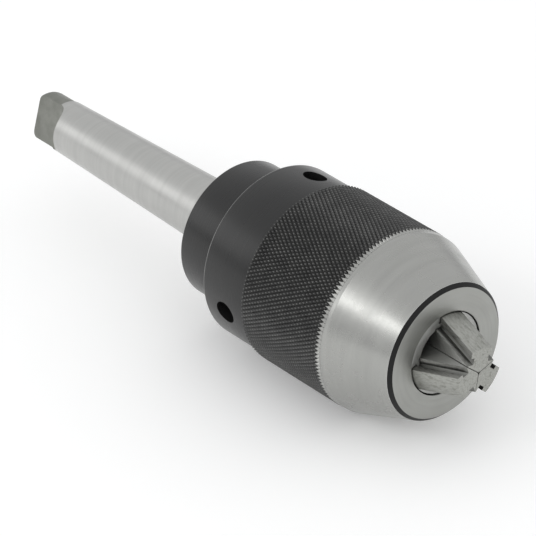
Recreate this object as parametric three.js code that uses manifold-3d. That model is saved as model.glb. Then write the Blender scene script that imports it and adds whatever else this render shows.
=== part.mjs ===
// Keyless drill chuck for drills up to 13 mm, with an integral No. 2 Morse taper shank. Millimetres.
// X is the chuck's axis and points to the nose, Z is up, and the origin is the centre of the taper's
// gauge plane. Turning the sleeve group turns the guide, the jaws and the feed screw with it. The feed
// screw's left-hand thread runs in the shank body, so it also moves along X, and pushes the jaws down
// their inclined T-slots. The thread is drawn as a plain cylinder over its crests, in a plain bore.
import * as THREE from "three";
import { mergeVertices } from "three/addons/utils/BufferGeometryUtils.js";
import Module from "manifold-3d";

const wasm = await Module();
wasm.setup();

// ---- Driving dimensions ----
const CLEARANCE = 0.3; // between sliding or nested pieces
const FACE_GAP = 0.1; // between faces that rest on each other
const SHELL_SIDES = 56; // facets round the outer shells
const INNER_SIDES = 36; // facets round the inner pieces
const FIRST_ANGLE = 80; // degrees from +Y towards +Z, of the first jaw
const TANG_ANGLE = 75; // of the tang's edge
const JAW_COUNT = 3;

// No. 2 Morse taper shank
const GAUGE_RADIUS = 8.89;
const TAPER_SLOPE = 0.024975; // radius per mm of length
const TANG_END = -76.2;
const TANG_ROOT = -67.6;
const TAPER_END = -67.2;
const TANG_RADIUS = 6.95;
const TANG_THICKNESS = 6.3;
const TANG_CUTTER_RADIUS = 4;
const TANG_CORNER = 1.6;
const TANG_FLAT_LENGTH = 8.6;
const CENTRE_HOLE_RADIUS = 2.2;

// Hub and the body inside the sleeve
const HUB_BACK = 5;
const HUB_RADIUS = 19.2;
const HUB_FRONT = 19.4;
const NECK_RADIUS = 14;
const NECK_FRONT = 31.4;
const NUT_THREAD_RADIUS = 13.4;
const BODY_FRONT = 42.2;
const BORE_BOTTOM = 12.5;

// Sleeve group, from the rear
const SLEEVE_BACK = 19.7;
const BAND_RADIUS = 24.1;
const BAND_EDGE = 1; // fillet of its rear edge
const KNURL_BACK = 35.8;
const KNURL_FRONT = 66.2;
const KNURL_RADIUS = 25;
const KNURL_BORE = 22;
const SPIGOT_RADIUS = KNURL_BORE - CLEARANCE;
const CHAMBER_RADIUS = 20.2;
const BAND_SPIGOT_FRONT = 44.5;
const LIP_FRONT = 24.2;
const SPANNER_HOLES = 3;
const SPANNER_FIRST_ANGLE = 73.5;
const SPANNER_HOLE_X = 28;
const SPANNER_HOLE_RADIUS = 3.2;
const SPANNER_HOLE_DEPTH = 3;

// Nose cone
const NOSE_SPIGOT_BACK = 52;
const SHOULDER_RADIUS = 24.8;
const CONE_BACK = 67.5;
const CONE_FRONT = 84.3;
const CONE_FRONT_RADIUS = 18.9;
const NOSE_FACE = 85.3;
const NOSE_FACE_RADIUS = 17.9;
const NOSE_BORE_RADIUS = 11.35;
const GUIDE_SEAT = 75;

// Jaws: sheared prisms that slide along lines at JAW_SLOPE to the axis
const JAW_SLOPE = Math.tan(THREE.MathUtils.degToRad(20));
const JAW_BACK_RADIUS = 11.1; // radius of the jaw's back where it crosses the nose face
const JAW_TIP = 97.2;
const JAW_REAR = 73;
const JAW_TOP = 13.6; // the rear of the back is turned down to this radius
const FLANGE_HALF = 3.5;
const FLANGE_THICK = 2.2;
const NECK_HALF = 2.5;
const NECK_THICK = 1.8;
const BODY_HALF = 4.5;
const GRIP_RADIUS = 0.4; // of the gripping ridge from the axis
const GRIP_REAR = 82; // behind this the ridge rises away from the axis
const RIDGE_HALF = 0.4;
const WEDGE_RISE = Math.tan(THREE.MathUtils.degToRad(30)); // three jaws' flanks share 120 degrees each
const FOOT_HALF = 3.9;
const FOOT_BACK = 62.8;
const FOOT_FRONT = 65.7;
const TAIL_FRONT = 78;
const TAIL_IN = 8;
const TAIL_OUT = 12.2;

// Jaw guide
const GUIDE_RING_BACK = 71.8;
const GUIDE_FRONT = 84.9;
const GUIDE_RING_RADIUS = 20;
const GUIDE_BORE_RADIUS = 8.6;

// Feed screw
const HEAD_BACK = 59.5;
const HEAD_FRONT = 69.5;
const HEAD_RADIUS = 17.5;
const HEAD_SLOT_IN = 4.3;
const SCREW_END = 30;
const SCREW_RADIUS = 7.4; // over the crests of its left-hand thread, 3 mm pitch

// Thrust bearing and its nut
const BALL_COUNT = 16;
const BALL_RADIUS = 2;
const BALL_X = 27.9;
const BALL_PITCH_RADIUS = 17.1;
const RACE_IN = 14.4;
const RACE_OUT = 19.8;
const RACE_FACE_BACK = 26.3;
const RACE_FACE_FRONT = 29.5;
const CAGE_HALF = 0.8;
const NUT_BACK = 31.5;
const NUT_FRONT = 38;
const NUT_RADIUS = 19.5;
const NUT_SLOTS = 4;
const LOCK_RING_BACK = 38.5;
const LOCK_RING_FRONT = 39.7;
const LOCK_GROOVE_RADIUS = 12.4;

// ---- Solids ----
function solid(geometry) {
  const plain = new THREE.BufferGeometry();
  plain.setAttribute("position", geometry.getAttribute("position"));
  if (geometry.index) plain.setIndex(geometry.index);
  const merged = mergeVertices(plain, 1e-4);
  return new wasm.Manifold(
    new wasm.Mesh({
      numProp: 3,
      vertProperties: new Float32Array(merged.attributes.position.array),
      triVerts: new Uint32Array(merged.index.array),
    }),
  );
}

function geometryOf(made) {
  const mesh = made.getMesh();
  const geometry = new THREE.BufferGeometry();
  geometry.setAttribute("position", new THREE.BufferAttribute(mesh.vertProperties, 3));
  geometry.setIndex(new THREE.BufferAttribute(mesh.triVerts, 1));
  geometry.computeVertexNormals();
  return geometry;
}

// A solid turned about X from [x, radius] points. The outline may be given either way round.
function turned(outline, sides = INNER_SIDES) {
  const points = outline.map(([x, r]) => new THREE.Vector2(r, x));
  const onAxis = points[0].x === 0 && points.at(-1).x === 0;
  const loop = onAxis ? points : [...points, points[0].clone()];
  if (THREE.ShapeUtils.area(points) < 0) loop.reverse();
  return solid(new THREE.LatheGeometry(loop, sides).rotateZ(-Math.PI / 2));
}

// Points of a fillet or groove, from angle a to angle b in degrees, as [x, radius].
function arc(x, r, radius, a, b, steps = 6) {
  return Array.from({ length: steps + 1 }, (_, i) => {
    const t = THREE.MathUtils.degToRad(a + ((b - a) * i) / steps);
    return [x + radius * Math.cos(t), r + radius * Math.sin(t)];
  });
}

// A prism along X, from a [lateral, radial] outline. Before turning, lateral is -Y and radial is +Z.
function prism(outline, back, front) {
  const shape = new THREE.Shape(outline.map(([q, p]) => new THREE.Vector2(q, p)));
  const geometry = new THREE.ExtrudeGeometry(shape, { depth: front - back, bevelEnabled: false });
  const toAxis = new THREE.Matrix4().makeBasis(
    new THREE.Vector3(0, -1, 0),
    new THREE.Vector3(0, 0, 1),
    new THREE.Vector3(-1, 0, 0),
  );
  return solid(geometry.applyMatrix4(toAxis).translate(front, 0, 0));
}

function block(back, front, half, low, high) {
  const outline = [
    [-half, low],
    [half, low],
    [half, high],
    [-half, high],
  ];
  return prism(outline, back, front);
}

function cylinder(radius, length, sides) {
  return new THREE.CylinderGeometry(radius, radius, length, sides);
}

// Turns a solid made with its radial direction along +Z to one of the evenly spaced places round X.
function atStation(made, index, count = JAW_COUNT, first = FIRST_ANGLE) {
  return made.rotate([first - 90 + (360 * index) / count, 0, 0]);
}

const stations = (count) => Array.from({ length: count }, (_, i) => i);

// ---- Shank body: taper, tang, hub, neck and the threaded bore ----
function tangFlatCutter(side) {
  const deep = 20;
  const inner = TANG_THICKNESS / 2;
  const runOut = TANG_END + TANG_FLAT_LENGTH;
  const centre = new THREE.Vector3(runOut, 0, inner + TANG_CUTTER_RADIUS);
  const round = solid(
    cylinder(TANG_CUTTER_RADIUS, deep, INNER_SIDES).translate(centre.x, centre.y, centre.z),
  );
  const length = TANG_FLAT_LENGTH + 2;
  const flat = solid(
    new THREE.BoxGeometry(length, deep, deep).translate(runOut - length / 2, 0, inner + deep / 2),
  );
  return round.add(flat).rotate([side * 180, 0, 0]);
}

function shankBody() {
  const taper = (x) => GAUGE_RADIUS + TAPER_SLOPE * x;
  const boreRadius = SCREW_RADIUS + CLEARANCE;
  const outline = [
    [TANG_END, 0],
    ...arc(TANG_END + TANG_CORNER, TANG_RADIUS - TANG_CORNER, TANG_CORNER, 180, 90, 4),
    [TANG_ROOT, TANG_RADIUS],
    [TAPER_END, taper(TAPER_END)],
    [HUB_BACK, taper(HUB_BACK)],
    [HUB_BACK, HUB_RADIUS - 0.8],
    [HUB_BACK + 0.8, HUB_RADIUS],
    [HUB_FRONT, HUB_RADIUS],
    [HUB_FRONT, NECK_RADIUS],
    [NECK_FRONT, NECK_RADIUS],
    [NECK_FRONT, NUT_THREAD_RADIUS],
    [LOCK_RING_BACK - FACE_GAP, NUT_THREAD_RADIUS],
    [LOCK_RING_BACK - FACE_GAP, LOCK_GROOVE_RADIUS],
    [LOCK_RING_FRONT + FACE_GAP, LOCK_GROOVE_RADIUS],
    [LOCK_RING_FRONT + FACE_GAP, NUT_THREAD_RADIUS],
    [BODY_FRONT - 0.8, NUT_THREAD_RADIUS],
    [BODY_FRONT, NUT_THREAD_RADIUS - 0.8],
    [BODY_FRONT, boreRadius + 0.8],
    [BODY_FRONT - 0.8, boreRadius],
    [BORE_BOTTOM + 1, boreRadius],
    [BORE_BOTTOM, boreRadius - 1],
    [BORE_BOTTOM, 0],
  ];
  const centreHole = [
    [TANG_END - 1, 0],
    [TANG_END - 1, CENTRE_HOLE_RADIUS + 0.58],
    [TANG_END + 2.7, 0.65],
    [TANG_END + 5, 0.65],
    [TANG_END + 5, 0],
  ];
  const flats = tangFlatCutter(0).add(tangFlatCutter(1)).rotate([TANG_ANGLE, 0, 0]);
  return turned(outline, SHELL_SIDES).subtract(turned(centreHole, 24)).subtract(flats);
}

function feedScrew() {
  const outline = [
    [SCREW_END, 0],
    [SCREW_END, SCREW_RADIUS - 0.8],
    [SCREW_END + 0.8, SCREW_RADIUS],
    [HEAD_BACK, SCREW_RADIUS],
    [HEAD_BACK, HEAD_RADIUS - 1],
    [HEAD_BACK + 1, HEAD_RADIUS],
    [HEAD_FRONT - 1, HEAD_RADIUS],
    [HEAD_FRONT, HEAD_RADIUS - 1],
    [HEAD_FRONT, 0],
  ];
  const reach = HEAD_RADIUS + 1;
  const narrow = block(FOOT_FRONT + 0.2, HEAD_FRONT + 1, NECK_HALF + CLEARANCE, HEAD_SLOT_IN, reach);
  const wide = block(
    FOOT_BACK - CLEARANCE,
    FOOT_FRONT + CLEARANCE,
    FOOT_HALF + CLEARANCE,
    HEAD_SLOT_IN,
    reach,
  );
  const slot = narrow.add(wide);
  const blank = turned(outline);
  return stations(JAW_COUNT).reduce((made, i) => made.subtract(atStation(slot, i)), blank);
}

// ---- Thrust bearing and nut ----
function race(face, back) {
  const towards = Math.sign(face - back);
  const trackRadius = BALL_RADIUS + 0.1;
  const half = Math.sqrt(trackRadius ** 2 - (BALL_X - face) ** 2);
  const track = stations(5).map((i) => {
    const offset = half * (i / 2 - 1);
    return [BALL_X - towards * Math.sqrt(trackRadius ** 2 - offset ** 2), BALL_PITCH_RADIUS + offset];
  });
  return turned([[back, RACE_IN], [face, RACE_IN], ...track, [face, RACE_OUT], [back, RACE_OUT]]);
}

function ballCage() {
  const ring = turned([
    [BALL_X - CAGE_HALF, RACE_IN],
    [BALL_X - CAGE_HALF, RACE_OUT],
    [BALL_X + CAGE_HALF, RACE_OUT],
    [BALL_X + CAGE_HALF, RACE_IN],
  ]);
  const pocket = solid(
    cylinder(BALL_RADIUS + 0.2, 4, 12)
      .rotateZ(Math.PI / 2)
      .translate(BALL_X, 0, BALL_PITCH_RADIUS),
  );
  return stations(BALL_COUNT).reduce(
    (made, i) => made.subtract(atStation(pocket, i, BALL_COUNT)),
    ring,
  );
}

function thrustBall(index) {
  const ball = new THREE.SphereGeometry(BALL_RADIUS, 8, 6).translate(BALL_X, 0, BALL_PITCH_RADIUS);
  return atStation(solid(ball), index, BALL_COUNT);
}

function thrustNut() {
  const blank = turned([
    [NUT_BACK, NUT_THREAD_RADIUS + CLEARANCE],
    [NUT_BACK, NUT_RADIUS],
    [NUT_FRONT - 0.8, NUT_RADIUS],
    [NUT_FRONT, NUT_RADIUS - 0.8],
    [NUT_FRONT, NUT_THREAD_RADIUS + CLEARANCE],
  ]);
  const slot = block(NUT_FRONT - 2.5, NUT_FRONT + 1, 1.5, NUT_RADIUS - 2.5, NUT_RADIUS + 1);
  return stations(NUT_SLOTS).reduce((made, i) => made.subtract(atStation(slot, i, NUT_SLOTS)), blank);
}

function lockRing() {
  const blank = turned([
    [LOCK_RING_BACK, LOCK_GROOVE_RADIUS + CLEARANCE],
    [LOCK_RING_BACK, NUT_THREAD_RADIUS + 2.6],
    [LOCK_RING_FRONT, NUT_THREAD_RADIUS + 2.6],
    [LOCK_RING_FRONT, LOCK_GROOVE_RADIUS + CLEARANCE],
  ]);
  const mouth = block(LOCK_RING_BACK - 1, LOCK_RING_FRONT + 1, 2, 0, 20);
  return atStation(blank.subtract(mouth), 0);
}

// ---- Sleeve group ----
function rearSleeve() {
  const blank = turned(
    [
      [SLEEVE_BACK, NECK_RADIUS + CLEARANCE],
      ...arc(SLEEVE_BACK + BAND_EDGE, BAND_RADIUS - BAND_EDGE, BAND_EDGE, 180, 90, 3),
      [KNURL_BACK, BAND_RADIUS],
      [KNURL_BACK, SPIGOT_RADIUS],
      [BAND_SPIGOT_FRONT, SPIGOT_RADIUS],
      [BAND_SPIGOT_FRONT, CHAMBER_RADIUS],
      [LIP_FRONT, CHAMBER_RADIUS],
      [LIP_FRONT, NECK_RADIUS + CLEARANCE],
    ],
    SHELL_SIDES,
  );
  const depth = SPANNER_HOLE_DEPTH + 2;
  const hole = solid(
    cylinder(SPANNER_HOLE_RADIUS, depth, 24)
      .rotateX(Math.PI / 2)
      .translate(SPANNER_HOLE_X, 0, BAND_RADIUS - SPANNER_HOLE_DEPTH + depth / 2),
  );
  return stations(SPANNER_HOLES).reduce(
    (made, i) => made.subtract(atStation(hole, i, SPANNER_HOLES, SPANNER_FIRST_ANGLE)),
    blank,
  );
}

function knurledSleeve() {
  return turned(
    [
      [KNURL_BACK + FACE_GAP, KNURL_BORE],
      [KNURL_BACK + FACE_GAP, BAND_RADIUS],
      [KNURL_BACK + FACE_GAP + 0.4, KNURL_RADIUS],
      [KNURL_FRONT - FACE_GAP, KNURL_RADIUS],
      [KNURL_FRONT - FACE_GAP, KNURL_BORE],
    ],
    SHELL_SIDES,
  );
}

function noseCone() {
  const innerCone = (x) => NOSE_BORE_RADIUS + JAW_SLOPE * (NOSE_FACE - x);
  return turned(
    [
      [NOSE_SPIGOT_BACK, CHAMBER_RADIUS],
      [NOSE_SPIGOT_BACK, SPIGOT_RADIUS],
      [KNURL_FRONT, SPIGOT_RADIUS],
      [KNURL_FRONT, SHOULDER_RADIUS],
      [CONE_BACK - 0.6, SHOULDER_RADIUS],
      [CONE_BACK, SHOULDER_RADIUS - 0.15],
      [CONE_BACK + 0.8, SHOULDER_RADIUS - 0.42],
      [CONE_FRONT, CONE_FRONT_RADIUS],
      [NOSE_FACE, NOSE_FACE_RADIUS],
      [NOSE_FACE, NOSE_BORE_RADIUS],
      [GUIDE_SEAT, innerCone(GUIDE_SEAT)],
      [GUIDE_SEAT, CHAMBER_RADIUS],
    ],
    SHELL_SIDES,
  );
}

// The jaw's cross-section where it crosses the nose face, grown by a clearance for the slot it slides in.
function jawSection(grow) {
  const ridge = GRIP_RADIUS + JAW_SLOPE * (GRIP_REAR - NOSE_FACE);
  const flangeIn = JAW_BACK_RADIUS - FLANGE_THICK - grow;
  const bodyOut = JAW_BACK_RADIUS - FLANGE_THICK - NECK_THICK + grow;
  const flankFoot = ridge + (BODY_HALF - RIDGE_HALF) * WEDGE_RISE;
  const half = FLANGE_HALF + grow;
  const back = JAW_BACK_RADIUS + grow;
  const tilt = THREE.MathUtils.radToDeg(Math.asin(half / back));
  const roundBack = arc(0, 0, back, 90 + tilt, 90 - tilt, 8);
  const right = [
    [half, flangeIn],
    [NECK_HALF + grow, flangeIn],
    [NECK_HALF + grow, bodyOut],
    [BODY_HALF + grow, bodyOut],
    [BODY_HALF + grow, flankFoot - grow],
    [RIDGE_HALF, ridge - grow],
  ];
  return [...roundBack, ...right, ...right.map(([q, p]) => [-q, p]).reverse()];
}

// A prism of that section that leans towards the axis as it goes forward.
function slidingPrism(section, back, front) {
  const straight = prism(section, back, front);
  return straight.warp((v) => {
    v[2] -= JAW_SLOPE * (v[0] - NOSE_FACE);
  });
}

function jaw(index) {
  const flankEnd = GRIP_RADIUS + (2 * BODY_HALF - RIDGE_HALF) * WEDGE_RISE;
  const envelope = [
    [-RIDGE_HALF, GRIP_RADIUS],
    [RIDGE_HALF, GRIP_RADIUS],
    [2 * BODY_HALF, flankEnd],
    [2 * BODY_HALF, JAW_TOP],
    [-2 * BODY_HALF, JAW_TOP],
    [-2 * BODY_HALF, flankEnd],
  ];
  const blank = slidingPrism(jawSection(0), JAW_REAR, JAW_TIP);
  const trimmed = blank.intersect(prism(envelope, JAW_REAR - 1, JAW_TIP + 1));
  const tail = block(FOOT_FRONT - 1, TAIL_FRONT, NECK_HALF, TAIL_IN, TAIL_OUT);
  const foot = block(FOOT_BACK, FOOT_FRONT, FOOT_HALF, TAIL_IN, TAIL_OUT);
  return atStation(trimmed.add(tail).add(foot), index);
}

function jawGuide() {
  const outer = (x) => NOSE_BORE_RADIUS - CLEARANCE + JAW_SLOPE * (NOSE_FACE - x);
  const seat = GUIDE_SEAT - CLEARANCE;
  const blank = turned([
    [GUIDE_RING_BACK, GUIDE_BORE_RADIUS],
    [GUIDE_RING_BACK, GUIDE_RING_RADIUS],
    [seat, GUIDE_RING_RADIUS],
    [seat, outer(seat)],
    [GUIDE_FRONT, outer(GUIDE_FRONT)],
    [GUIDE_FRONT, GUIDE_BORE_RADIUS],
  ]);
  const slot = slidingPrism(jawSection(CLEARANCE), GUIDE_RING_BACK - 2, GUIDE_FRONT + 2);
  return stations(JAW_COUNT).reduce((made, i) => made.subtract(atStation(slot, i)), blank);
}

// ---- Materials and assembly ----
const steel = (color, roughness, metalness) =>
  new THREE.MeshStandardMaterial({ color, roughness, metalness });
const groundSteel = steel(0xb4b4b1, 0.3, 1);
const blackOxide = steel(0x3c3c3d, 0.5, 0.6);
const hardSteel = steel(0xa09f99, 0.35, 1);
const ballSteel = steel(0xd5d6d8, 0.1, 1);
const brass = steel(0xb79a55, 0.4, 1);

const chuck = new THREE.Group();

function place(name, made, material) {
  const mesh = new THREE.Mesh(geometryOf(made), material);
  mesh.name = name;
  chuck.add(mesh);
}

place("shank_body", shankBody(), groundSteel);
place("front_race", race(RACE_FACE_FRONT, NUT_BACK - FACE_GAP), hardSteel);
place("thrust_nut", thrustNut(), blackOxide);
place("lock_ring", lockRing(), hardSteel);
place("ball_cage", ballCage(), brass);
for (const i of stations(BALL_COUNT)) {
  place(`thrust_ball_${String(i + 1).padStart(2, "0")}`, thrustBall(i), ballSteel);
}
place("rear_race", race(RACE_FACE_BACK, LIP_FRONT + FACE_GAP), hardSteel);
place("rear_sleeve", rearSleeve(), blackOxide);
place("knurled_sleeve", knurledSleeve(), blackOxide);
place("nose_cone", noseCone(), groundSteel);
place("jaw_guide", jawGuide(), hardSteel);
place("feed_screw", feedScrew(), hardSteel);
for (const i of stations(JAW_COUNT)) place(`jaw_${i + 1}`, jaw(i), hardSteel);

export default chuck;
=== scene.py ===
"""Looks for a keyless drill chuck on a No. 2 Morse taper shank.

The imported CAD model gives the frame: metres, X along the chuck's axis to the nose, Z up.
Outlines are in millimetres as (x, radius) pairs, and are scaled when a mesh is made.
"""

import math

import bmesh
import bpy
from mathutils import Matrix, Quaternion, Vector


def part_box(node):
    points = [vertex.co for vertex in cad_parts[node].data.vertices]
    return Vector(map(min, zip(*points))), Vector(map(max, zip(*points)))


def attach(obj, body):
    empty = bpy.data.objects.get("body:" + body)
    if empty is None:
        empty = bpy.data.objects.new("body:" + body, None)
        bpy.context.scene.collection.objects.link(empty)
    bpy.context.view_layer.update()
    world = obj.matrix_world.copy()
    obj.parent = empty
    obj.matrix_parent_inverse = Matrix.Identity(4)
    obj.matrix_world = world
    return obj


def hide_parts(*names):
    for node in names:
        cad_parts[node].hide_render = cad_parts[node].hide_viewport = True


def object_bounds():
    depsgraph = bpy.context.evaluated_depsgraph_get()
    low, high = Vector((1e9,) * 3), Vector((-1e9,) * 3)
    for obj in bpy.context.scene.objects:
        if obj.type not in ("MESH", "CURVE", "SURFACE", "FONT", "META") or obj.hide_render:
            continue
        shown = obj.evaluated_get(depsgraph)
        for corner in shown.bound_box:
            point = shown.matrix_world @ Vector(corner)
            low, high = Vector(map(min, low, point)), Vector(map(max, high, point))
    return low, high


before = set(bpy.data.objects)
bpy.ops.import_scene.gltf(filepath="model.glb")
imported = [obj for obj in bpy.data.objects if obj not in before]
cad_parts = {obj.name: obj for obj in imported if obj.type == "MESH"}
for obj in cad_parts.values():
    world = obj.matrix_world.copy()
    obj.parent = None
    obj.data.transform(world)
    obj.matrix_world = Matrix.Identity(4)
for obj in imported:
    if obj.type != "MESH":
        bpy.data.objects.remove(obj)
cad_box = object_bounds()

MM = 0.001
FINE = 192  # segments round the shells that show
FINEST = 256  # segments round the nose
COARSE = 48  # segments round the cutters of small holes
EDGE = 0.05  # margin for telling which surface a face's centre lies on
CLEARANCE = 0.3  # between sliding or nested pieces
FACE_GAP = 0.1  # between faces that rest on each other
CUTTER_REACH = 30.0  # cutters for the holes in the sleeve reach out to this radius
UP_ANGLE = 90.0  # of +Z: angles about the axis run from +Y towards +Z, in degrees
JAW_ANGLE = 80.0  # of the first jaw
TANG_ANGLE = 75.0  # of the tang's edge
JAW_COUNT = 3
BALL_COUNT, BALL_RADIUS = 16, 2.0
INNER_EDGE = 0.06  # bevel on the edges of the pieces inside

# Shank
GAUGE_RADIUS = 8.89
TAPER_SLOPE = 0.024975
TANG_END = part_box("shank_body")[0].x / MM
TANG_RADIUS = 6.95
TANG_CORNER = 1.6
TANG_ROOT = -67.6
TAPER_END = -67.2
TANG_HALF = 3.15  # half the width across its flats
TANG_FLAT = 8.6  # length of the flats
TANG_CUTTER = 4.0  # radius of the cutter that made them
CENTRE_RADIUS = 2.78  # of the centre drill's cone, 1 mm outside the tang's end
CENTRE_DEPTH = 2.7
PILOT_RADIUS, PILOT_DEPTH = 0.65, 5.0  # of the drill's tip
HUB_BACK, HUB_FRONT, HUB_RADIUS = 5.0, 19.4, 19.2
NECK_RADIUS, NECK_FRONT = 14.0, 31.4
THREAD_RADIUS = 13.4
LOCK_GROOVE_BACK, LOCK_GROOVE_FRONT, LOCK_GROOVE_RADIUS = 38.4, 39.8, 12.4
BODY_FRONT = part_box("shank_body")[1].x / MM
BORE_RADIUS, BORE_BOTTOM = 7.7, 12.5

# Sleeve group
BAND_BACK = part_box("rear_sleeve")[0].x / MM
BAND_RADIUS, BAND_EDGE = 24.1, 1.0
KNURL_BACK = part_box("knurled_sleeve")[0].x / MM
KNURL_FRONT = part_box("knurled_sleeve")[1].x / MM
KNURL_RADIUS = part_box("knurled_sleeve")[1].z / MM
KNURL_BORE = 22.0
SPIGOT_RADIUS = KNURL_BORE - CLEARANCE  # of the rear sleeve and the nose inside the knurled sleeve
CHAMBER_RADIUS = 20.2  # of the bore that they share
LIP_FRONT, BAND_SPIGOT_FRONT = 24.2, 44.5
SPANNER_HOLES = 3
SPANNER_X, SPANNER_RADIUS, SPANNER_DEPTH = 28.0, 3.2, 3.0
SPANNER_FIRST = 73.5  # angle of the first hole
NOSE_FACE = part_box("nose_cone")[1].x / MM
NOSE_SPIGOT_BACK = 52.0
NOSE_GAP = 0.05  # between the knurled sleeve and the nose
SHOULDER_RADIUS = 24.8
CONE_BACK = 67.4
CONE_FRONT, CONE_FRONT_RADIUS = 84.3, 18.9
NOSE_FACE_RADIUS, NOSE_BORE = 17.9, 11.35
GUIDE_SEAT = 75.0

# Jaws
JAW_BACK = 11.1  # radius of the jaw's back where it crosses the nose face
JAW_SLOPE = math.tan(math.radians(20))
JAW_FLANGE = 2.2  # thickness of the T's flange
JAW_EDGE = 0.03  # bevel on the jaws' sharp edges
JAW_SHOULDER = 4.0  # depth of the body's shoulder below the back
JAW_BRIGHT = 1.2  # depth below the back down to which the flange is ground bright
FLANK_SLOPE = math.tan(math.radians(30))
FLANK_REACH = 0.3  # points less than this above the planes between the jaws lie on the flanks
FLANK_FILL = 0.058  # the flanks move this far in, which leaves 0.02 mm between closed jaws

# Diamond knurl
KNURL_STARTS = 136
KNURL_PITCH = 2 * math.pi / KNURL_STARTS  # radians
KNURL_HELIX = 30  # degrees from the axis
KNURL_DEPTH = 0.42
KNURL_ROOT = KNURL_RADIUS - KNURL_DEPTH
KNURL_CREST = 0.26  # share of a diamond that is flat on top
KNURL_MARGIN = 0.3  # plain bevel behind the knurl
KNURL_INSET = 0.002  # keeps the crests inside the CAD's box
KNURL_WALL = 0.2  # the plain wall under the knurl starts this far below its root
TOOTH_LENGTH = 1.9  # of the teeth where the knurl runs out
TOOTH_BRIGHT = 0.8  # share of that length that is bright
TOOTH_WIDTH = 0.9  # share of the pitch that a tooth fills at the front edge
TOOTH_GROOVE = 0.12  # depth of the grooves at the front edge, below the nose's shoulder
TOOTH_CREST = 0.01  # depth of the teeth's crests there
TOOTH_SHADE = 0.08  # faces deeper than this there are dark
TOOTH_TIP_RUN, TOOTH_TIP_DROP = 0.12, 0.03  # place of a tooth's tip, ahead of its tail and below the crests


# ---- Geometry ----
def mesh_object(name, vertices, faces):
    """An object from points in millimetres."""
    mesh = bpy.data.meshes.new(name)
    mesh.from_pydata([Vector(v) * MM for v in vertices], [], faces)
    made = bpy.data.objects.new(name, mesh)
    bpy.context.collection.objects.link(made)
    clean(made)
    return made


def clean(made):
    """Joins doubled points and turns every face outwards."""
    shape = bmesh.new()
    shape.from_mesh(made.data)
    bmesh.ops.remove_doubles(shape, verts=shape.verts, dist=1e-7)
    bmesh.ops.recalc_face_normals(shape, faces=shape.faces)
    shape.to_mesh(made.data)
    shape.free()


def smooth(made, angle=28):
    made.data.shade_smooth()
    made.data.set_sharp_from_angle(angle=math.radians(angle))


def rounded(outline):
    """Replaces each (x, r, fillet) corner of a closed outline by an arc, and keeps plain (x, r) corners."""
    points = []
    count = len(outline)
    for i, corner in enumerate(outline):
        here = Vector(corner[:2])
        if len(corner) == 2:
            points.append(tuple(here))
            continue
        before = (Vector(outline[i - 1][:2]) - here).normalized()
        after = (Vector(outline[(i + 1) % count][:2]) - here).normalized()
        half = before.angle(after) / 2
        middle = here + (before + after).normalized() * (corner[2] / math.sin(half))
        start = here + before * (corner[2] / math.tan(half)) - middle
        turn = (math.pi - 2 * half) * (1 if before.x * after.y - before.y * after.x < 0 else -1)
        for step in range(6):
            point = middle + Matrix.Rotation(turn * step / 5, 2) @ start
            points.append(tuple(point))
    return points


def lathe(name, outline, segments=FINE):
    """Turns a closed (x, radius) outline about the X axis."""
    points = rounded(outline)
    count = len(points)
    vertices = []
    for step in range(segments):
        angle = 2 * math.pi * step / segments
        for x, r in points:
            vertices.append((x, r * math.cos(angle), r * math.sin(angle)))
    faces = []
    for step in range(segments):
        ahead = (step + 1) % segments
        for i in range(count):
            j = (i + 1) % count
            if points[i][1] == 0 and points[j][1] == 0:
                continue
            corners = ((step, i), (step, j), (ahead, j), (ahead, i))
            faces.append(tuple(ring * count + point for ring, point in corners))
    return mesh_object(name, vertices, faces)


def prism(name, low_ring, high_ring):
    """A closed solid between two rings with the same number of points."""
    count = len(low_ring)
    faces = [(i, (i + 1) % count, count + (i + 1) % count, count + i) for i in range(count)]
    faces += [tuple(range(count)), tuple(range(count, 2 * count))]
    return mesh_object(name, low_ring + high_ring, faces)


def cylinder(name, radius, low, high):
    """A cutter along Z, from low to high."""
    angles = [2 * math.pi * i / COARSE for i in range(COARSE)]
    ring = [(radius * math.cos(a), radius * math.sin(a)) for a in angles]
    return prism(name, [(x, y, low) for x, y in ring], [(x, y, high) for x, y in ring])


def turn_about_x(made, degrees):
    made.data.transform(Matrix.Rotation(math.radians(degrees), 4, "X"))
    return made


def shift_along_x(made, distance):
    made.data.transform(Matrix.Translation((distance * MM, 0, 0)))
    return made


def cut(made, cutters):
    """Cuts the cutters out of a piece, and removes them."""
    for cutter in cutters:
        change = made.modifiers.new("cut", "BOOLEAN")
        change.operation = "DIFFERENCE"
        change.solver = "EXACT"
        change.object = cutter
    apply_modifiers(made)
    for cutter in cutters:
        bpy.data.objects.remove(cutter)


def apply_modifiers(made):
    graph = bpy.context.evaluated_depsgraph_get()
    result = bpy.data.meshes.new_from_object(made.evaluated_get(graph), depsgraph=graph)
    made.modifiers.clear()
    made.data = result


def bevel(made, width):
    """Eases the sharp edges of a piece."""
    change = made.modifiers.new("edges", "BEVEL")
    change.width = width * MM
    change.segments = 2
    change.limit_method = "ANGLE"
    change.angle_limit = math.radians(30)
    change.use_clamp_overlap = True
    apply_modifiers(made)


def refined(node, width):
    """A copy of a CAD node's mesh with its flat faces joined and its edges eased."""
    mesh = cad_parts[node].data.copy()
    made = bpy.data.objects.new(node + "_fine", mesh)
    bpy.context.collection.objects.link(made)
    shape = bmesh.new()
    shape.from_mesh(mesh)
    bmesh.ops.remove_doubles(shape, verts=shape.verts, dist=2e-6)
    flat = math.radians(1.0)
    bmesh.ops.dissolve_limit(shape, angle_limit=flat, verts=shape.verts, edges=shape.edges)
    shape.to_mesh(mesh)
    shape.free()
    mesh.materials.clear()
    bevel(made, width)
    return made


# ---- Materials ----
MIX_FACTOR, MIX_A, MIX_B, MIX_RESULT = 0, 6, 7, 2  # sockets of a Mix node that is set to colours


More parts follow.
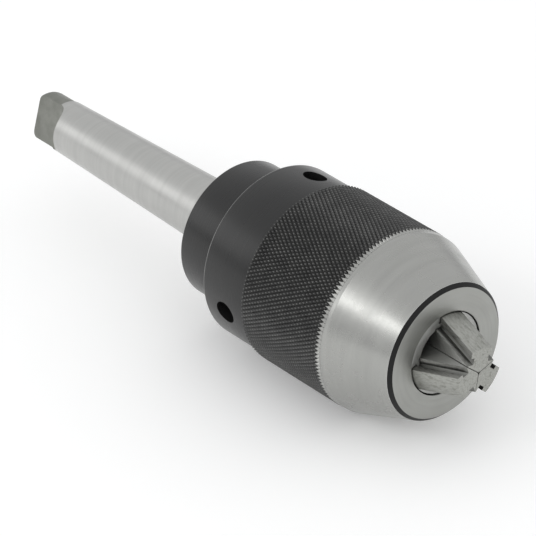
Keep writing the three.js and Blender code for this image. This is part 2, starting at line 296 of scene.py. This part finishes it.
class Nodes:
    """A short way to write a material's node tree."""

    def __init__(self, name):
        self.material = bpy.data.materials.new(name)
        self.material.use_nodes = True
        self.tree = self.material.node_tree
        self.shader = self.tree.nodes["Principled BSDF"]
        self.place = self.add("ShaderNodeTexCoord").outputs["Object"]

    def add(self, kind, inputs=None, **settings):
        node = self.tree.nodes.new(kind)
        for key, value in settings.items():
            setattr(node, key, value)
        for key, value in (inputs or {}).items():
            if isinstance(value, bpy.types.NodeSocket):
                self.tree.links.new(value, node.inputs[key])
            else:
                node.inputs[key].default_value = value
        return node

    def math(self, operation, a, b=0.0):
        return self.add("ShaderNodeMath", {0: a, 1: b}, operation=operation).outputs[0]

    def noise(self, scale, detail, vector=None):
        inputs = {"Vector": vector or self.place, "Scale": scale, "Detail": detail}
        return self.add("ShaderNodeTexNoise", inputs).outputs["Fac"]

    def stretched(self, along, across):
        """Coordinates for streaks that run round the axis: fine along X and radius, coarse round it."""
        split = self.add("ShaderNodeSeparateXYZ", {0: self.place})
        depth = self.math("ADD", split.outputs["X"], self.radius())
        fine = self.math("MULTIPLY", depth, along)
        y = self.math("MULTIPLY", split.outputs["Y"], across)
        z = self.math("MULTIPLY", split.outputs["Z"], across)
        return self.add("ShaderNodeCombineXYZ", {"X": fine, "Y": y, "Z": z}).outputs[0]

    def scaled(self, x, y, z):
        """The object's coordinates, scaled along each axis."""
        inputs = {0: self.place, 1: (x, y, z)}
        return self.add("ShaderNodeVectorMath", inputs, operation="MULTIPLY").outputs[0]

    def radius(self):
        """The distance from the chuck's axis."""
        split = self.add("ShaderNodeSeparateXYZ", {0: self.place})
        flat = self.add("ShaderNodeCombineXYZ", {"Y": split.outputs["Y"], "Z": split.outputs["Z"]})
        length = self.add("ShaderNodeVectorMath", {0: flat.outputs[0]}, operation="LENGTH")
        return length.outputs["Value"]

    def blend(self, factor, a, b):
        """Mixes two colours, each an RGB triple or another node's output."""
        sockets = {MIX_FACTOR: factor}
        for socket, colour in ((MIX_A, a), (MIX_B, b)):
            made_by_node = isinstance(colour, bpy.types.NodeSocket)
            sockets[socket] = colour if made_by_node else (*colour, 1.0)
        return self.add("ShaderNodeMix", sockets, data_type="RGBA").outputs[MIX_RESULT]

    def ramp(self, value, low, high, out_low=0.0, out_high=1.0):
        inputs = {0: value, 1: low, 2: high, 3: out_low, 4: out_high}
        return self.add("ShaderNodeMapRange", inputs).outputs[0]

    def bump(self, height, distance, strength):
        node = self.add("ShaderNodeBump", {"Height": height, "Distance": distance, "Strength": strength})
        self.tree.links.new(node.outputs[0], self.shader.inputs["Normal"])

    def set(self, **inputs):
        for key, value in inputs.items():
            socket = self.shader.inputs[key.replace("_", " ")]
            if isinstance(value, bpy.types.NodeSocket):
                self.tree.links.new(value, socket)
            else:
                socket.default_value = value


def turned_steel(name, light, dark, roughness, line_depth=2.5e-6, anisotropy=0.55):
    """Steel turned or ground round the axis: fine rings, faint streaks and handling marks."""
    nodes = Nodes(name)
    rings = nodes.noise(1.0, 4.0, nodes.stretched(9000.0, 40.0))
    streaks = nodes.noise(1.0, 2.0, nodes.stretched(900.0, 60.0))
    marks = nodes.noise(160.0, 4.0)
    tone = nodes.math("ADD", nodes.math("MULTIPLY", rings, 0.35), nodes.math("MULTIPLY", streaks, 0.65))
    colour = nodes.blend(nodes.ramp(tone, 0.3, 0.7), dark, light)
    rough = nodes.math("ADD", nodes.ramp(marks, 0.35, 0.7, -0.04, 0.05), roughness)
    nodes.set(Base_Color=colour, Metallic=1.0, Roughness=rough, Anisotropic=anisotropy)
    tangent = nodes.add("ShaderNodeTangent", direction_type="RADIAL", axis="X")
    nodes.set(Tangent=tangent.outputs[0])
    nodes.bump(rings, line_depth, 0.6)
    return nodes.material


def raw_steel(name, light, dark, roughness):
    """Forged or milled steel left as it is: mottled, with a fine grain."""
    nodes = Nodes(name)
    mottle = nodes.noise(260.0, 5.0)
    fine = nodes.noise(3600.0, 3.0)
    colour = nodes.blend(nodes.ramp(mottle, 0.3, 0.7), dark, light)
    rough = nodes.ramp(fine, 0.3, 0.7, roughness - 0.05, roughness + 0.08)
    nodes.set(Base_Color=colour, Metallic=1.0, Roughness=rough)
    nodes.bump(nodes.math("ADD", mottle, fine), 8e-6, 0.5)
    return nodes.material


def black_oxide(name, light, dark, roughness, specular=0.5):
    """Satin black oxide over fine turning rings."""
    nodes = Nodes(name)
    rings = nodes.noise(1.0, 3.0, nodes.stretched(6000.0, 30.0))
    cloud = nodes.noise(90.0, 4.0)
    colour = nodes.blend(nodes.ramp(cloud, 0.3, 0.7), dark, light)
    rough = nodes.math("ADD", nodes.ramp(rings, 0.3, 0.7, -0.03, 0.04), roughness)
    nodes.set(Base_Color=colour, Roughness=rough, Specular_IOR_Level=specular)
    nodes.bump(rings, 3e-6, 0.5)
    return nodes.material


def knurled_oxide(name, light, dark, crest, roughness):
    """Black oxide on the knurl, rubbed paler on the diamonds' crests."""
    nodes = Nodes(name)
    height = nodes.ramp(nodes.radius(), KNURL_ROOT * MM, KNURL_RADIUS * MM)
    cloud = nodes.noise(350.0, 4.0)
    fine = nodes.noise(5000.0, 2.0)
    base = nodes.blend(nodes.ramp(cloud, 0.3, 0.7), dark, light)
    worn = nodes.math("MULTIPLY", nodes.ramp(height, 0.8, 1.0), nodes.ramp(cloud, 0.35, 0.6, 0.35, 1.0))
    nodes.set(Base_Color=nodes.blend(worn, base, crest), Roughness=roughness)
    nodes.bump(fine, 4e-6, 0.4)
    return nodes.material


def ground_steel(name, light, dark, roughness):
    """Hard steel ground along its length: coarse streaks, with darker scores where the wheel skipped."""
    nodes = Nodes(name)
    streaks = nodes.noise(1.0, 4.0, nodes.scaled(70.0, 2600.0, 2600.0))
    patches = nodes.noise(1.0, 3.0, nodes.scaled(260.0, 1100.0, 1100.0))
    scores = nodes.ramp(patches, 0.58, 0.66)
    grain = nodes.noise(2400.0, 3.0)
    tone = nodes.math("ADD", nodes.ramp(streaks, 0.3, 0.7, 0.0, 0.7), nodes.ramp(grain, 0.3, 0.7, 0.0, 0.3))
    tone = nodes.math("SUBTRACT", tone, nodes.math("MULTIPLY", scores, 0.7))
    nodes.set(
        Base_Color=nodes.blend(nodes.ramp(tone, 0.0, 1.0), dark, light),
        Metallic=1.0,
        Roughness=nodes.ramp(grain, 0.3, 0.7, roughness - 0.04, roughness + 0.08),
    )
    nodes.bump(tone, 1.5e-5, 0.5)
    return nodes.material


def polished(name, light, dark, roughness):
    """Ground and polished steel or brass."""
    nodes = Nodes(name)
    cloud = nodes.noise(700.0, 3.0)
    nodes.set(
        Base_Color=nodes.blend(nodes.ramp(cloud, 0.3, 0.7), light, dark),
        Metallic=1.0,
        Roughness=nodes.ramp(cloud, 0.3, 0.7, roughness, roughness + 0.05),
    )
    return nodes.material


# Each finish has a light tone, a dark tone and a roughness.
STEEL_CONE = turned_steel("fine_turned_steel", (0.4, 0.402, 0.386), (0.36, 0.362, 0.348), 0.26)
STEEL_TAPER = turned_steel("ground_taper_steel", (0.49, 0.49, 0.476), (0.435, 0.435, 0.423), 0.32)
STEEL_FACE = turned_steel("faced_steel", (0.39, 0.393, 0.375), (0.34, 0.343, 0.325), 0.42, anisotropy=0.15)
STEEL_TANG = raw_steel("tang_steel", (0.28, 0.283, 0.26), (0.2, 0.205, 0.185), 0.45)
STEEL_JAW = ground_steel("jaw_steel", (0.44, 0.443, 0.418), (0.27, 0.273, 0.25), 0.36)
# Milled T-slot faces of the jaws, painted darker as shade under the flange.
STEEL_JAW_SLOT_WITH_SHADE = ground_steel("jaw_slot_steel_with_painted_shade", (0.26, 0.262, 0.245), (0.14, 0.14, 0.13), 0.42)
STEEL_JAW_SIDE = turned_steel(
    "jaw_side_steel", (0.4, 0.403, 0.385), (0.32, 0.322, 0.307), 0.42, line_depth=1e-6, anisotropy=0.0
)
STEEL_GUIDE = raw_steel("guide_steel", (0.46, 0.463, 0.447), (0.38, 0.382, 0.37), 0.48)
# Painted highlight line along the front edge of the nose's cone.
STEEL_EDGE_HIGHLIGHT = turned_steel("painted_edge_highlight_steel", (0.66, 0.66, 0.65), (0.58, 0.58, 0.57), 0.3)
STEEL_INNER = turned_steel("hard_turned_steel", (0.4, 0.4, 0.39), (0.3, 0.3, 0.29), 0.35)
OXIDE = black_oxide("satin_black_oxide", (0.011, 0.011, 0.0107), (0.006, 0.006, 0.0065), 0.29)
OXIDE_KNURL = knurled_oxide(
    "knurled_black_oxide", (0.03, 0.03, 0.029), (0.016, 0.016, 0.016), (0.125, 0.125, 0.12), 0.4
)
# Painted highlight lines along the rear sleeve's rounded rear edge.
OXIDE_EDGE_HIGHLIGHT = turned_steel("painted_edge_highlight", (0.3, 0.3, 0.29), (0.12, 0.12, 0.12), 0.35)
# Blackened chamfer ring on the nose; also painted shade in the spanner holes and painted shadow in the
# jaws' grooves.
BLACKENED_AND_PAINTED_SHADE = black_oxide("blackened_and_painted_shade", (0.01, 0.01, 0.01), (0.006, 0.006, 0.006), 0.5, specular=0.25)
POLISHED_BALL = polished("polished_ball_steel", (0.75, 0.75, 0.76), (0.66, 0.66, 0.67), 0.06)
POLISHED_RACE = polished("ground_race_steel", (0.55, 0.55, 0.55), (0.47, 0.47, 0.47), 0.16)
BRASS = polished("machined_brass", (0.62, 0.47, 0.2), (0.5, 0.36, 0.14), 0.28)
BLUED = black_oxide("blued_spring_steel", (0.03, 0.032, 0.045), (0.016, 0.017, 0.026), 0.3)


def paint(made, choose, *materials):
    """Gives each face the material that choose(centre_in_mm, normal) picks by number."""
    made.data.materials.clear()
    for material in materials:
        made.data.materials.append(material)
    for face in made.data.polygons:
        face.material_index = choose(face.center / MM, face.normal)


def fit(made, body, slot, node):
    """Puts a fine piece in the place of its CAD node, on the node's body."""
    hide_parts(node)
    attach(made, body)


# ---- Pieces ----
def tang_cutter(side):
    """A milling cutter's path for one flat of the tang: a flat run that rises in an arc."""
    start = TANG_END - 2
    flat_front = TANG_END + TANG_FLAT
    top = TANG_HALF + 12
    wide = 14
    steps = 16
    outline = [(start, TANG_HALF)]
    for i in range(steps + 1):
        angle = math.pi / 2 * i / steps
        x = flat_front + TANG_CUTTER * math.sin(angle)
        outline.append((x, TANG_HALF + TANG_CUTTER * (1 - math.cos(angle))))
    outline += [(flat_front + TANG_CUTTER, top), (start, top)]
    cutter = prism("tang_cutter", [(x, -wide, z) for x, z in outline], [(x, wide, z) for x, z in outline])
    return turn_about_x(cutter, TANG_ANGLE + 180 * side)


def centre_drill():
    """The centre drill's cone and tip, for the hole in the tang's end."""
    outline = [
        (TANG_END - 1, 0),
        (TANG_END - 1, CENTRE_RADIUS),
        (TANG_END + CENTRE_DEPTH, PILOT_RADIUS),
        (TANG_END + PILOT_DEPTH, PILOT_RADIUS),
        (TANG_END + PILOT_DEPTH, 0),
    ]
    return lathe("centre_drill", outline, COARSE)


def taper(x):
    """The Morse taper's radius at x."""
    return GAUGE_RADIUS + TAPER_SLOPE * x


def make_shank():
    outline = [
        (TANG_END, 0),
        (TANG_END, TANG_RADIUS, TANG_CORNER),
        (TANG_ROOT, TANG_RADIUS, 0.4),
        (TAPER_END, taper(TAPER_END), 0.25),
        (HUB_BACK, taper(HUB_BACK)),
        (HUB_BACK, HUB_RADIUS, 0.5),
        (HUB_FRONT, HUB_RADIUS, 0.15),
        (HUB_FRONT, NECK_RADIUS, 0.3),
        (NECK_FRONT, NECK_RADIUS),
        (NECK_FRONT, THREAD_RADIUS),
        (LOCK_GROOVE_BACK, THREAD_RADIUS),
        (LOCK_GROOVE_BACK, LOCK_GROOVE_RADIUS),
        (LOCK_GROOVE_FRONT, LOCK_GROOVE_RADIUS),
        (LOCK_GROOVE_FRONT, THREAD_RADIUS),
        (BODY_FRONT, THREAD_RADIUS, 0.6),
        (BODY_FRONT, BORE_RADIUS, 0.4),
        (BORE_BOTTOM, BORE_RADIUS, 0.6),
        (BORE_BOTTOM, 0),
    ]
    shank = lathe("shank_body_fine", outline)
    cut(shank, [tang_cutter(0), tang_cutter(1), centre_drill()])
    clean(shank)

    def choose(at, normal):
        """The tang is milled, the hub is blackened, and the body inside the sleeve is turned."""
        radius = math.hypot(at.y, at.z)
        cutter_mark = at.x < TAPER_END + TANG_CUTTER and radius < taper(at.x) - EDGE
        if at.x < TAPER_END - EDGE or cutter_mark:
            return 1
        if HUB_BACK - EDGE < at.x < HUB_FRONT + 2 * EDGE and radius > taper(HUB_BACK) + EDGE:
            return 2
        return 0 if at.x < HUB_BACK + EDGE else 3

    paint(shank, choose, STEEL_TAPER, STEEL_TANG, OXIDE, STEEL_INNER)
    smooth(shank)
    fit(shank, "shank", "ground_steel", "shank_body")


def make_rear_sleeve():
    sleeve = lathe(
        "rear_sleeve_fine",
        [
            (BAND_BACK, NECK_RADIUS + CLEARANCE),
            (BAND_BACK, BAND_RADIUS, BAND_EDGE),
            (KNURL_BACK - FACE_GAP, BAND_RADIUS, 0.08),
            (KNURL_BACK - FACE_GAP, SPIGOT_RADIUS),
            (BAND_SPIGOT_FRONT, SPIGOT_RADIUS),
            (BAND_SPIGOT_FRONT, CHAMBER_RADIUS),
            (LIP_FRONT, CHAMBER_RADIUS),
            (LIP_FRONT, NECK_RADIUS + CLEARANCE),
        ],
    )
    cutters = []
    for i in range(SPANNER_HOLES):
        angle = SPANNER_FIRST + 360 / SPANNER_HOLES * i - UP_ANGLE
        hole = cylinder("spanner_hole", SPANNER_RADIUS, BAND_RADIUS - SPANNER_DEPTH, CUTTER_REACH)
        cutters.append(turn_about_x(shift_along_x(hole, SPANNER_X), angle))
    cut(sleeve, cutters)
    clean(sleeve)

    def choose(at, normal):
        """The rounded rear edge has two painted highlight lines, and the spanner holes are painted darker
        as shade.
        """
        radius = math.hypot(at.y, at.z)
        below = BAND_RADIUS - radius
        # Two thin bands of painted highlight on the rounded rear edge.
        if at.x < BAND_BACK + BAND_EDGE and (0.07 < below < 0.2 or 0.45 < below < 0.65):
            return 1
        # The spanner holes' walls and floors are painted darker as shade.
        beside_hole = SPANNER_X - 3 < at.x < SPANNER_X + 4
        return 2 if beside_hole and CHAMBER_RADIUS + EDGE < radius < BAND_RADIUS - EDGE else 0

    paint(sleeve, choose, OXIDE, OXIDE_EDGE_HIGHLIGHT, BLACKENED_AND_PAINTED_SHADE)
    smooth(sleeve)
    fit(sleeve, "sleeve", "black_oxide", "rear_sleeve")


def knurl_skin(front, back):
    """Points and faces of the diamond knurl: open pyramids that tile the sleeve, and the front teeth.

    Places round the axis are in steps, one for each start of the knurl.
    """
    teeth_back = front - TOOTH_LENGTH
    ideal = KNURL_RADIUS * KNURL_PITCH / 2 / math.tan(math.radians(KNURL_HELIX))
    rows = round((teeth_back - back) / ideal)
    half = (teeth_back - back) / rows
    vertices, faces = [], []

    def put(x, step, radius):
        angle = step * KNURL_PITCH
        vertices.append((x, radius * math.cos(angle), radius * math.sin(angle)))
        return len(vertices) - 1

    def pyramid(x, step, places):
        """A flat-topped pyramid over the given corners, each an (x, step) offset from its middle."""
        foot = [put(x + dx, step + ds, KNURL_ROOT) for dx, ds in places]
        flat = [(dx * KNURL_CREST, ds * KNURL_CREST) for dx, ds in places]
        crest = [put(x + dx, step + ds, KNURL_RADIUS - KNURL_INSET) for dx, ds in flat]
        faces.append(tuple(crest))
        for i in range(len(places)):
            j = (i + 1) % len(places)
            faces.append((foot[i], foot[j], crest[j], crest[i]))

    def tooth(step):
        """A long triangle between two grooves that run out at the front edge."""
        tip = put(teeth_back + TOOTH_TIP_RUN, step, KNURL_RADIUS - TOOTH_TIP_DROP)
        tail = put(teeth_back, step, KNURL_ROOT)
        side = []
        for turn in (-0.5, 0.5):
            low = put(teeth_back + half, step + turn, KNURL_ROOT)
            end = put(front, step + turn, SHOULDER_RADIUS - TOOTH_GROOVE)
            base = put(front, step + turn * TOOTH_WIDTH, SHOULDER_RADIUS - TOOTH_CREST)
            faces.extend([(tail, low, tip), (low, base, tip), (low, end, base)])
            side.append((end, base, put(front, step + turn, KNURL_ROOT - KNURL_WALL)))
        (end_a, base_a, rim_a), (end_b, base_b, rim_b) = side
        faces.append((tip, base_a, base_b))
        faces.append((end_a, base_a, base_b, end_b, rim_b, rim_a))

    diamond = ((half, 0), (0, 0.5), (-half, 0), (0, -0.5))
    for i in range(KNURL_STARTS):
        tooth(i + 0.5)
        for row in range(rows):
            pyramid(teeth_back - row * half, i + 0.5 * (row % 2), diamond)
        pyramid(back, i + 0.5 * (rows % 2), ((0, 0.5), (0, -0.5), (half, 0)))
    return vertices, faces


def make_knurled_sleeve():
    knurl_back = KNURL_BACK + KNURL_MARGIN
    vertices, faces = knurl_skin(KNURL_FRONT, knurl_back)
    count = 2 * KNURL_STARTS
    rings = []
    for x, radius in (
        (KNURL_FRONT, KNURL_ROOT - KNURL_WALL),
        (KNURL_FRONT, KNURL_BORE),
        (KNURL_BACK, KNURL_BORE),
        (KNURL_BACK, BAND_RADIUS),
        (knurl_back, KNURL_ROOT),
    ):
        ring = []
        for i in range(count):
            angle = i * KNURL_PITCH / 2
            vertices.append((x, radius * math.cos(angle), radius * math.sin(angle)))
            ring.append(len(vertices) - 1)
        rings.append(ring)
    for a, b in zip(rings, rings[1:]):
        for i in range(count):
            j = (i + 1) % count
            faces.append((a[i], a[j], b[j], b[i]))
    sleeve = mesh_object("knurled_sleeve_fine", vertices, faces)

    def choose(at, normal):
        """The teeth are bright between their grooves."""
        at_front = at.x > KNURL_FRONT - TOOTH_BRIGHT * TOOTH_LENGTH
        return 1 if at_front and math.hypot(at.y, at.z) > SHOULDER_RADIUS - TOOTH_SHADE else 0

    paint(sleeve, choose, OXIDE_KNURL, STEEL_CONE)
    sleeve.data.shade_flat()
    fit(sleeve, "sleeve", "black_oxide_knurl", "knurled_sleeve")


def make_nose():
    nose = lathe(
        "nose_cone_fine",
        [
            (NOSE_SPIGOT_BACK, CHAMBER_RADIUS),
            (NOSE_SPIGOT_BACK, SPIGOT_RADIUS),
            (KNURL_FRONT + NOSE_GAP, SPIGOT_RADIUS),
            (KNURL_FRONT + NOSE_GAP, SHOULDER_RADIUS),
            (CONE_BACK, SHOULDER_RADIUS, 1.2),
            (CONE_FRONT, CONE_FRONT_RADIUS, 0.16),
            (NOSE_FACE, NOSE_FACE_RADIUS, 0.14),
            (NOSE_FACE, NOSE_BORE, 0.25),
            (GUIDE_SEAT, NOSE_BORE + JAW_SLOPE * (NOSE_FACE - GUIDE_SEAT)),
            (GUIDE_SEAT, CHAMBER_RADIUS),
        ],
        FINEST,
    )

    def choose(at, normal):
        """The ring between the cone and the face is blackened, with a painted highlight line at its outer
        edge.
        """
        radius = math.hypot(at.y, at.z)
        # Painted highlight line at the cone's front edge.
        if abs(at.x - CONE_FRONT) < 0.1 and radius > CONE_FRONT_RADIUS - 0.15:
            return 3
        if CONE_FRONT < at.x < NOSE_FACE - 0.02 and radius > NOSE_FACE_RADIUS - 0.1:
            return 1
        return 2 if at.x > NOSE_FACE - 0.1 and radius < NOSE_FACE_RADIUS else 0

    paint(nose, choose, STEEL_CONE, BLACKENED_AND_PAINTED_SHADE, STEEL_FACE, STEEL_EDGE_HIGHLIGHT)
    smooth(nose, 20)
    fit(nose, "sleeve", "nose_steel", "nose_cone")


def make_inner_pieces():
    """The pieces that keep the CAD's shape, with their edges eased."""
    for node, body, slot, material in (
        ("jaw_guide", "sleeve", "guide_steel", STEEL_GUIDE),
        ("feed_screw", "screw", "hard_steel", STEEL_INNER),
        ("front_race", "shank", "race_steel", POLISHED_RACE),
        ("rear_race", "sleeve", "race_steel", POLISHED_RACE),
        ("thrust_nut", "shank", "oiled_steel", OXIDE),
        ("lock_ring", "shank", "spring_steel", BLUED),
        ("ball_cage", "bearing", "brass_cage", BRASS),
    ):
        piece = refined(node, INNER_EDGE)
        paint(piece, lambda at, normal: 0, material)
        smooth(piece, 35)
        fit(piece, body, slot, node)


def make_balls():
    for number in range(1, BALL_COUNT + 1):
        node = f"thrust_ball_{number:02d}"
        low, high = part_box(node)
        mesh = bpy.data.meshes.new(node + "_fine")
        shape = bmesh.new()
        bmesh.ops.create_icosphere(shape, subdivisions=4, radius=BALL_RADIUS * MM)
        shape.to_mesh(mesh)
        shape.free()
        mesh.transform(Matrix.Translation((low + high) / 2))
        ball = bpy.data.objects.new(node + "_fine", mesh)
        bpy.context.collection.objects.link(ball)
        mesh.materials.append(POLISHED_BALL)
        mesh.shade_smooth()
        fit(ball, "bearing", "ball_steel", node)


def close_flanks(jaw, upright):
    """Moves the two flanks towards the neighbouring jaws, so that the line between them is fine."""
    inward = upright.transposed() @ Vector((0, 0, -FLANK_FILL))
    for vertex in jaw.data.vertices:
        place = upright @ (vertex.co / MM)
        if place.z - FLANK_SLOPE * abs(place.y) < FLANK_REACH:
            vertex.co += inward * MM


def make_jaws():
    for number in range(1, JAW_COUNT + 1):
        node = f"jaw_{number}"
        jaw = refined(node, JAW_EDGE)
        angle = JAW_ANGLE + 360 / JAW_COUNT * (number - 1)
        upright = Matrix.Rotation(math.radians(UP_ANGLE - angle), 3, "X")
        close_flanks(jaw, upright)

        def choose(at, normal):
            """The back, the end and the body's sides are ground bright; the T-slot is milled and painted
            darker as shade, and its groove is painted black as shadow.
            """
            turned = upright @ normal
            place = upright @ at
            depth = JAW_BACK - JAW_SLOPE * (place.x - NOSE_FACE) - place.z
            if turned.x > 0.8 or (turned.z > 0.6 and depth < JAW_BRIGHT):
                return 0
            if depth > JAW_SHOULDER + 0.1:
                return 2
            # Painted shadow: the groove under the flange is painted black, and the other slot faces are
            # painted darker as shade.
            in_groove = JAW_FLANGE - 0.15 < depth < JAW_SHOULDER - 0.1
            return 3 if in_groove else 1

        paint(jaw, choose, STEEL_JAW, STEEL_JAW_SLOT_WITH_SHADE, STEEL_JAW_SIDE, BLACKENED_AND_PAINTED_SHADE)
        smooth(jaw, 35)
        fit(jaw, node, "jaw_steel", node)


# ---- Stage ----
CAMERA_AZIMUTH, CAMERA_ELEVATION = 49.41, 31.205  # degrees
CAMERA_PLACE = Vector((0.69273, -0.5786, 0.53221))
LENS, SENSOR = 268.6, 36.0  # mm
FLOOR_SIZE = 6.0
FLOOR_GLOW = 0.17
SOFTBOX_DISTANCE = 1.2
SKY_LIGHT, HORIZON_LIGHT = 0.88, 0.6
SKY_LOW, SKY_HIGH = 0.02, 0.35  # heights on the sky between which it goes from one to the other


def direction(azimuth, elevation):
    """From the chuck towards a place on the sky: azimuth 0 is -Y and 90 is +X."""
    a, e = math.radians(azimuth), math.radians(elevation)
    return Vector((math.sin(a) * math.cos(e), -math.cos(a) * math.cos(e), math.sin(e)))


def make_camera():
    camera = bpy.data.objects.new("camera", bpy.data.cameras.new("camera"))
    bpy.context.collection.objects.link(camera)
    camera.data.lens = LENS
    camera.data.sensor_width = SENSOR
    camera.data.clip_start, camera.data.clip_end = 0.05, 20.0
    camera.location = CAMERA_PLACE
    back = direction(CAMERA_AZIMUTH, CAMERA_ELEVATION)
    camera.rotation_euler = (-back).to_track_quat("-Z", "Y").to_euler()
    bpy.context.scene.camera = camera


def make_floor():
    half = FLOOR_SIZE / 2 / MM
    corners = [(-half, -half, 0), (half, -half, 0), (half, half, 0), (-half, half, 0)]
    floor = mesh_object("floor", corners, [(0, 1, 2, 3)])
    floor.location.z = cad_box[0].z
    nodes = Nodes("pale_floor")
    cloud = nodes.noise(3.0, 2.0)
    nodes.set(Base_Color=nodes.blend(cloud, (0.9, 0.9, 0.9), (0.92, 0.92, 0.915)), Roughness=0.9)
    nodes.set(Emission_Color=(1.0, 1.0, 1.0, 1.0), Emission_Strength=FLOOR_GLOW)
    floor.data.materials.append(nodes.material)


def make_softbox(name, azimuth, elevation, wide, high, roll, power):
    """A lamp that faces the chuck, wide by high in metres, rolled by some degrees, of some watts."""
    data = bpy.data.lights.new(name, "AREA")
    data.shape = "RECTANGLE"
    data.size, data.size_y = wide, high
    data.energy = power
    lamp = bpy.data.objects.new(name, data)
    bpy.context.collection.objects.link(lamp)
    towards = direction(azimuth, elevation)
    lamp.location = towards * SOFTBOX_DISTANCE
    turn = towards.to_track_quat("Z", "Y") @ Quaternion((0, 0, 1), math.radians(roll))
    lamp.rotation_euler = turn.to_euler()


def make_world():
    """A pale studio that is darker towards the horizon."""
    world = bpy.data.worlds.new("studio")
    bpy.context.scene.world = world
    world.use_nodes = True
    tree = world.node_tree
    place = tree.nodes.new("ShaderNodeTexCoord")
    split = tree.nodes.new("ShaderNodeSeparateXYZ")
    ramp = tree.nodes.new("ShaderNodeMapRange")
    ramp.interpolation_type = "SMOOTHSTEP"
    tree.links.new(place.outputs["Generated"], split.inputs[0])
    tree.links.new(split.outputs["Z"], ramp.inputs["Value"])
    ramp.inputs["From Min"].default_value = SKY_LOW
    ramp.inputs["From Max"].default_value = SKY_HIGH
    ramp.inputs["To Min"].default_value = HORIZON_LIGHT
    ramp.inputs["To Max"].default_value = SKY_LIGHT
    background = tree.nodes["Background"]
    background.inputs["Color"].default_value = (0.99, 0.995, 1.0, 1.0)
    tree.links.new(ramp.outputs[0], background.inputs["Strength"])


def make_stage():
    make_floor()
    make_softbox("cone_softbox", azimuth=-5, elevation=38, wide=0.8, high=0.28, roll=0, power=1.7)
    make_softbox("shank_softbox", azimuth=-48, elevation=20, wide=0.7, high=0.5, roll=10, power=0.8)
    make_world()
    bpy.context.scene.view_settings.view_transform = "Standard"


make_shank()
make_rear_sleeve()
make_knurled_sleeve()
make_nose()
make_inner_pieces()
make_balls()
make_jaws()
make_stage()
make_camera()
